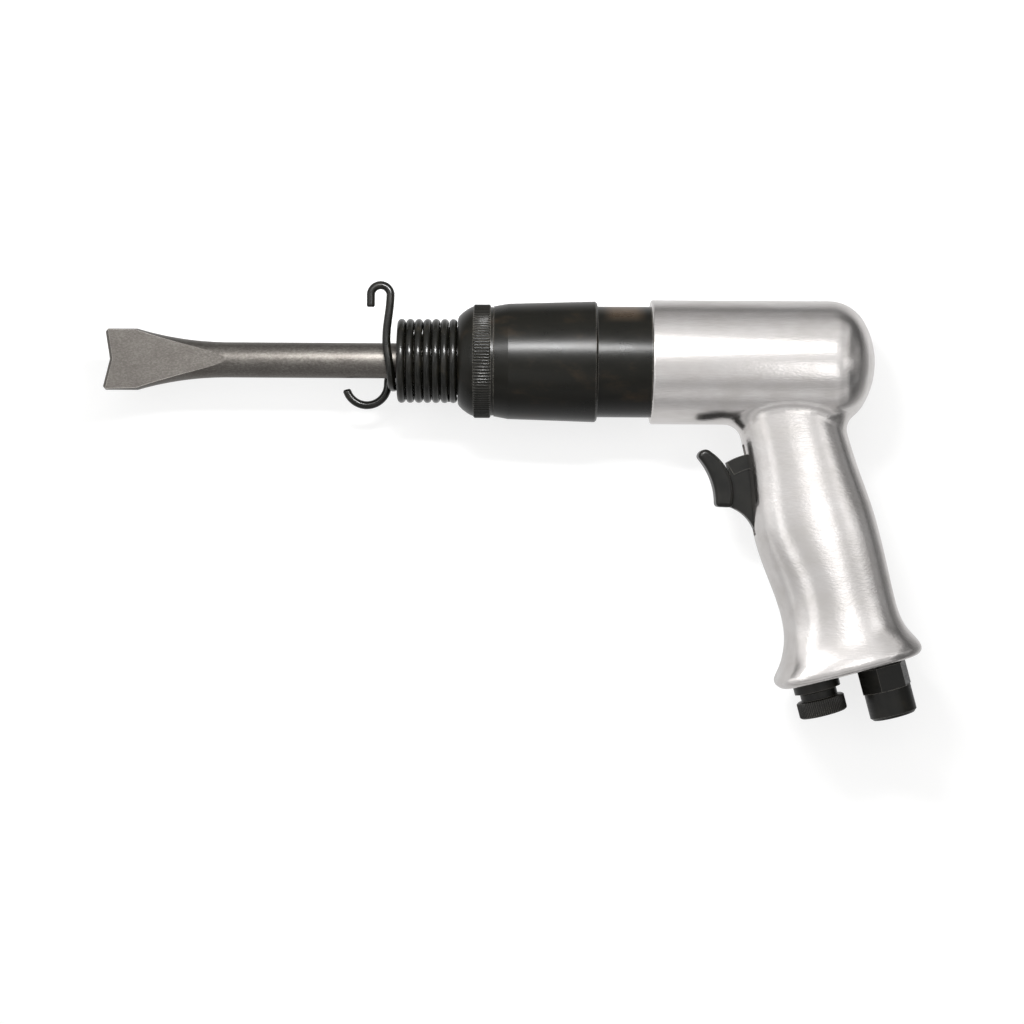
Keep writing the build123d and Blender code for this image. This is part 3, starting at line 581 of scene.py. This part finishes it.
# Black drawn spring wire: smooth and dark with a tight gloss from the die, a little scaly.
spring_wire = surface("black oxide on drawn spring wire")
flakes = marks(spring_wire, 4, 4, 4, Detail=4.0)
tone = add(
    spring_wire,
    "ShaderNodeValToRGB",
    [("Fac", flakes.outputs["Fac"])],
    stops=((0.35, srgb("#080806")), (0.6, srgb("#0e0d09")), (0.75, srgb("#1b1811"))),
)
gloss = add(
    spring_wire,
    "ShaderNodeMapRange",
    [("Value", flakes.outputs["Fac"])],
    From_Min=0.3,
    From_Max=0.7,
    To_Min=0.2,
    To_Max=0.36,
)
shader = add(
    spring_wire,
    "ShaderNodeBsdfPrincipled",
    [("Base Color", tone.outputs[0]), ("Roughness", gloss.outputs[0])],
    Specular_IOR_Level=0.25,
    Coat_Weight=0.2,
    Coat_Roughness=0.14,
)
dress(spring_wire, shader)
spring.data.materials.append(spring_wire)
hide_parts("retainer_spring")
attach(spring, "tool_body")

# Throttle: a brass bush with a steel valve that the trigger pushes off its seal, and the small
# spring that shuts it. All of it lies in a bore across the grip.
lean = radians(15)
grip_back = Vector((cos(lean), 0, sin(lean)))
grip_up = Vector((-sin(lean), 0, cos(lean)))


def in_grip(depth, height, side):
    """A point in the grip from millimetres: depth to the back, height along the grip, side."""
    return (grip_back * depth + grip_up * height + Vector((0, side, 0))) / 1000


# Turned brass: warm yellow with lathe lines, a little dull.
brass = surface("turned brass")
lines = marks(brass, 0.5, 3, 3, Detail=2.0)
tone = add(
    brass,
    "ShaderNodeValToRGB",
    [("Fac", lines.outputs["Fac"])],
    stops=((0.35, srgb("#b08f4e")), (0.65, srgb("#d3b26c"))),
)
polish = add(
    brass, "ShaderNodeMapRange", [("Value", lines.outputs["Fac"])], To_Min=0.22, To_Max=0.4
)
shader = add(
    brass,
    "ShaderNodeBsdfPrincipled",
    [("Base Color", tone.outputs[0]), ("Roughness", polish.outputs[0])],
    Metallic=1.0,
)
dress(brass, shader, "throttle_bush", "inlet_screen")

coil_start = 4.19
coil_run = 7.2
coil_middle = 28.0
coil_reach = 2.6
coil_turns = 4
coil_wire = 0.4
advance = coil_run / (2 * pi * coil_turns * coil_reach)
helix = []
for quarter in range(4 * coil_turns + 1):
    angle = quarter * pi / 2
    depth = coil_start + coil_run * quarter / (4 * coil_turns)
    place = in_grip(depth, coil_middle + coil_reach * cos(angle), coil_reach * sin(angle))
    helix.append((place, in_grip(advance, -sin(angle), cos(angle)).normalized()))
helix_line = wire("throttle_coil_line", helix, coil_wire / 1000)
helix_mesh = bpy.data.meshes.new_from_object(helix_line)
bpy.data.objects.remove(helix_line)
helix_mesh.name = "throttle_coil"
helix_mesh.materials.clear()
helix_mesh.materials.append(ground_steel)
throttle_coil = bpy.data.objects.new("throttle_coil", helix_mesh)
bpy.context.scene.collection.objects.link(throttle_coil)
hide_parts("throttle_spring")
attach(throttle_coil, "tool_body")
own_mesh(throttle_coil)

# Trigger: a curved finger blade on a fan-shaped web with a raised rim, die cast and painted black.
# It turns on a pin across the grip and pushes the throttle valve.

# Satin black paint: deep black with a slight orange peel, worn grey along the blade's edges.
black_paint = surface("satin black paint on a die casting")
peel = marks(black_paint, 0.9, 0.9, 0.9, Detail=2.0)
rub = marks(black_paint, 5, 5, 5, Detail=4.0)
tone = add(
    black_paint,
    "ShaderNodeValToRGB",
    [("Fac", rub.outputs["Fac"])],
    stops=((0.35, srgb("#0a0a08")), (0.7, srgb("#13120e"))),
)
edges = worn_edges(black_paint, 0.4)
colour = add(
    black_paint,
    "ShaderNodeMix",
    [(0, edges.outputs[0]), (6, tone.outputs[0])],
    data_type="RGBA",
)
colour.inputs[7].default_value = srgb("#4f4d48")
satin = add(
    black_paint,
    "ShaderNodeMapRange",
    [("Value", rub.outputs["Fac"])],
    From_Min=0.3,
    From_Max=0.7,
    To_Min=0.3,
    To_Max=0.45,
)
skin = add(
    black_paint,
    "ShaderNodeBump",
    [("Height", peel.outputs["Fac"])],
    Strength=0.2,
    Distance=0.00005,
)
shader = add(
    black_paint,
    "ShaderNodeBsdfPrincipled",
    [
        ("Base Color", colour.outputs[2]),
        ("Roughness", satin.outputs[0]),
        ("Normal", skin.outputs[0]),
    ],
    Specular_IOR_Level=0.27,
    Coat_Weight=0.15,
    Coat_Roughness=0.2,
)
dress(black_paint, shader, "trigger")

# Air inlet: a steel bushing with a hexagon and a round threaded end, screwed up into the grip's
# foot on a thin collar. The hose coupling screws into it from below.

# Dark oxide: the same blacking, left drier, so it is greyer and shows machining lines.
dark_oxide = surface("dark oxide on machined steel")
lines = marks(dark_oxide, 6, 6, 0.5, Detail=2.0)
patches = marks(dark_oxide, 6, 6, 6, Detail=4.0)
tone = add(
    dark_oxide,
    "ShaderNodeValToRGB",
    [("Fac", patches.outputs["Fac"])],
    stops=((0.35, srgb("#0b0b08")), (0.6, srgb("#12110c")), (0.8, srgb("#241f16"))),
)
edges = worn_edges(dark_oxide, 0.4)
colour = add(
    dark_oxide,
    "ShaderNodeMix",
    [(0, edges.outputs[0]), (6, tone.outputs[0])],
    data_type="RGBA",
)
colour.inputs[7].default_value = srgb("#5f5c57")
sheen = add(
    dark_oxide,
    "ShaderNodeMapRange",
    [("Value", lines.outputs["Fac"])],
    From_Min=0.3,
    From_Max=0.7,
    To_Min=0.3,
    To_Max=0.46,
)
cut = add(
    dark_oxide,
    "ShaderNodeBump",
    [("Height", lines.outputs["Fac"])],
    Strength=0.2,
    Distance=0.00003,
)
shader = add(
    dark_oxide,
    "ShaderNodeBsdfPrincipled",
    [
        ("Base Color", colour.outputs[2]),
        ("Roughness", sheen.outputs[0]),
        ("Normal", cut.outputs[0]),
    ],
    Specular_IOR_Level=0.28,
    Coat_Weight=0.15,
    Coat_Roughness=0.2,
)
dress(dark_oxide, shader, "inlet_bushing", "regulator_bush")

# Regulator: a turned steel knob with a straight knurl, whose stem throttles the air. It turns in a
# flanged bush beside the inlet.
knob_depth = -12.3
knob_teeth = 68


def on_knob(along, side, back):
    """A point of the knob: along the grip, to the side and to the back of the knob's axis."""
    return in_grip(knob_depth + back, along, side)


knob = turned(
    "knurled_knob",
    (
        (-21.9, 0, 0),
        (-21.9, 2.6, 0),
        (-22.3, 3.0, 0),
        (-50.9, 3.0, 0),
        (-50.9, 6.45, 0),
        (-51.1, 6.65, 0),
        (-53.6, 6.65, 0),
        (-53.6, 8.05, 0),
        (-53.8, 8.35, 0),
        (-54.15, 8.7, 0.32),
        (-59.0, 8.7, 0.32),
        (-59.35, 8.35, 0),
        (-59.6, 8.0, 0),
        (-59.6, 3.4, 0),
        (-59.2, 3.0, 0),
        (-59.2, 0, 0),
    ),
    knob_teeth,
    on_knob,
)
knob.data.materials.append(dark_oxide)
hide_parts("regulator_knob")
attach(knob, "regulator")

# Table: the tool lies on its side on white paper, so the paper stands right behind it. Seen in the
# metal, the paper glows with a painted reflection of a room: bright near the tool, darker above it
# and fading to the right. From behind it is clear, so that the tool's far side can be seen.
table_y = 0.0229
half_sheet = 4.0
corners = [
    (-half_sheet, -half_sheet),
    (half_sheet, -half_sheet),
    (half_sheet, half_sheet),
    (-half_sheet, half_sheet),
]
# The painted reflection of the room covers this much of the paper, in height and in length.
painted_reflection_height = 0.3  # how much of the paper the metal mirrors, in metres
painted_reflection_length = 0.4
self_lit = 0.64  # the share of plain white, which keeps the shadow pale
paper_sheet = bpy.data.meshes.new("paper")
paper_sheet.from_pydata([(x, table_y, z) for x, z in corners], [], [(0, 1, 2, 3)])
table = bpy.data.objects.new("paper", paper_sheet)
bpy.context.scene.collection.objects.link(table)
paper = surface("white paper")
sides = add(paper, "ShaderNodeNewGeometry")
place = add(paper, "ShaderNodeSeparateXYZ", [("Vector", sides.outputs["Position"])])
climb = add(
    paper,
    "ShaderNodeMapRange",
    [("Value", place.outputs["Z"])],
    From_Min=-painted_reflection_height,
    From_Max=painted_reflection_height,
)
painted_room = add(
    paper,
    "ShaderNodeValToRGB",
    [("Fac", climb.outputs[0])],
    stops=[
        ((height + painted_reflection_height) / (2 * painted_reflection_height), (level, level, level, 1))
        for height, level in (
            (-0.30, 0.5),
            (-0.12, 0.62),
            (0.02, 0.72),
            (0.10, 0.82),
            (0.135, 0.5),
            (0.16, 0.22),
            (0.195, 0.2),
            (0.25, 0.38),
            (0.30, 0.42),
        )
    ],
)
along = add(
    paper,
    "ShaderNodeMapRange",
    [("Value", place.outputs["X"])],
    From_Min=0.0,
    From_Max=painted_reflection_length,
)
painted_room_fade = add(
    paper,
    "ShaderNodeValToRGB",
    [("Fac", along.outputs[0])],
    stops=[
        (far / painted_reflection_length, (level, level, level, 1))
        for far, level in ((0.0, 1.0), (0.05, 1.0), (0.08, 0.55), (0.12, 0.36), (0.4, 0.25))
    ],
)
# Painted reflection: glossy rays see the paper glow with this painted room.
mirrored = add(
    paper, "ShaderNodeEmission", [("Color", painted_room.outputs[0]), ("Strength", painted_room_fade.outputs[0])]
)
sheet = add(paper, "ShaderNodeBsdfDiffuse", Color=srgb("#f7f7f6"))
glow = add(paper, "ShaderNodeEmission", Color=(1, 1, 1, 1), Strength=1.13)
light_path = add(paper, "ShaderNodeLightPath")
lit = add(
    paper, "ShaderNodeMath", [(0, light_path.outputs["Is Camera Ray"])], operation="MULTIPLY"
)
lit.inputs[1].default_value = self_lit
shown = add(
    paper,
    "ShaderNodeMixShader",
    [("Fac", lit.outputs[0]), (1, sheet.outputs[0]), (2, glow.outputs[0])],
)
front = add(
    paper,
    "ShaderNodeMixShader",
    [
        ("Fac", light_path.outputs["Is Glossy Ray"]),
        (1, shown.outputs[0]),
        (2, mirrored.outputs[0]),
    ],
)
clear = add(paper, "ShaderNodeBsdfTransparent")
one_sided = add(
    paper,
    "ShaderNodeMixShader",
    [("Fac", sides.outputs["Backfacing"]), (1, front.outputs[0]), (2, clear.outputs[0])],
)
dress(paper, one_sided)
paper_sheet.materials.append(paper)

# Studio: a strip softbox close above the tool with a small one over the barrel, two narrow strips
# by the grip and a white card at each end, in a pale room that is darker to the right. The metal
# mirrors all of them.
for name, size, energy, roll, place, goal in (
    ("strip softbox", (0.31, 0.031), 0.19, 0, (-0.124, -0.2, 0.16), (-0.124, 0, 0.065)),
    ("barrel softbox", (0.11, 0.029), 0.64, 0, (-0.107, -0.188, 0.154), (-0.107, 0, 0.065)),
    ("blade card", (0.12, 0.1), 0.09, 0, (-0.327, -0.3, 0.084), (-0.235, 0, 0.066)),
    ("side card", (0.2, 0.1), 0.028, 0, (0.245, -0.268, 0.05), (0.01, 0, 0.02)),
    ("grip strip", (0.042, 0.1), 0.0145, 15, (0.034, -0.212, 0.008), (0.003, -0.016, 0.008)),
    ("front strip", (0.06, 0.115), 0.0125, 15, (-0.118, -0.172, -0.045), (-0.01, -0.014, -0.005)),
):
    light = bpy.data.lights.new(name, "AREA")
    light.shape = "RECTANGLE"
    light.size, light.size_y = size
    light.energy = energy
    lamp = bpy.data.objects.new(name, light)
    lamp.location = place
    lamp.rotation_euler = (Vector(goal) - lamp.location).to_track_quat("-Z", "Y").to_euler()
    lamp.rotation_euler.rotate_axis("Z", radians(roll))
    lamp.visible_camera = False
    bpy.context.scene.collection.objects.link(lamp)

studio = bpy.data.worlds.new("studio")
bpy.context.scene.world = studio
studio.use_nodes = True
studio.node_tree.nodes.clear()
way = add(studio, "ShaderNodeTexCoord")
parts = add(studio, "ShaderNodeSeparateXYZ", [("Vector", way.outputs["Generated"])])
toward = add(studio, "ShaderNodeMath", [(0, parts.outputs["Y"])], operation="MULTIPLY")
toward.inputs[1].default_value = -1.0
angle = add(
    studio,
    "ShaderNodeMath",
    [(0, parts.outputs["Z"]), (1, toward.outputs[0])],
    operation="ARCTAN2",
)
turn = add(studio, "ShaderNodeMapRange", [("Value", angle.outputs[0])], From_Min=-pi, From_Max=pi)
room = add(
    studio,
    "ShaderNodeValToRGB",
    [("Fac", turn.outputs[0])],
    stops=[
        ((degrees + 180) / 360, (level, level, level, 1))
        for degrees, level in (
            (-98, 0.62),
            (-89, 0.5),
            (-80, 0.34),
            (-71, 0.58),
            (-62, 0.7),
            (-54, 0.54),
            (-46, 0.4),
            (-38, 0.5),
            (-31, 0.62),
            (-24, 0.72),
            (-14, 0.66),
            (-5, 0.67),
            (4, 0.79),
            (12, 0.91),
            (22, 0.96),
            (32, 0.77),
            (48, 0.8),
            (58, 0.8),
            (67, 0.7),
            (76, 0.6),
            (86, 0.5),
            (97, 0.42),
        )
    ],
)
ends = add(
    studio, "ShaderNodeMapRange", [("Value", parts.outputs["X"])], From_Min=-1.0, From_Max=1.0
)
fade = add(
    studio,
    "ShaderNodeValToRGB",
    [("Fac", ends.outputs[0])],
    stops=[
        (place, (level, level, level, 1))
        for place, level in (
            (0.0, 1.4),
            (0.06, 1.35),
            (0.13, 1.1),
            (0.26, 0.94),
            (0.42, 1.0),
            (0.56, 1.0),
            (0.61, 1.15),
            (0.66, 1.05),
            (0.71, 0.86),
            (0.75, 0.84),
            (0.79, 1.0),
            (0.815, 1.0),
            (0.84, 0.6),
            (0.865, 0.28),
            (0.9, 0.24),
            (0.94, 0.32),
            (0.97, 0.44),
            (1.0, 0.28),
        )
    ],
)
mirrored = add(
    studio,
    "ShaderNodeBackground",
    [("Color", room.outputs[0]), ("Strength", fade.outputs[0])],
)
white = add(studio, "ShaderNodeBackground", Color=(1, 1, 1, 1), Strength=1.0)
light_path = add(studio, "ShaderNodeLightPath")
shown = add(
    studio,
    "ShaderNodeMixShader",
    [
        ("Fac", light_path.outputs["Is Camera Ray"]),
        (1, mirrored.outputs[0]),
        (2, white.outputs[0]),
    ],
)
add(studio, "ShaderNodeOutputWorld", [("Surface", shown.outputs[0])])

# Camera: a long lens nearly a metre away and square to the tool's side, turned a little off level
# as in the photo.
camera = bpy.data.cameras.new("camera")
camera.sensor_width = 36
camera.lens = 86.5
eye = bpy.data.objects.new("camera", camera)
eye.location = (-0.1092, -0.886, 0.0112)
eye.rotation_euler = (pi / 2, -radians(0.337), 0)
bpy.context.scene.collection.objects.link(eye)
bpy.context.scene.camera = eye
bpy.context.scene.view_settings.view_transform = "Standard"
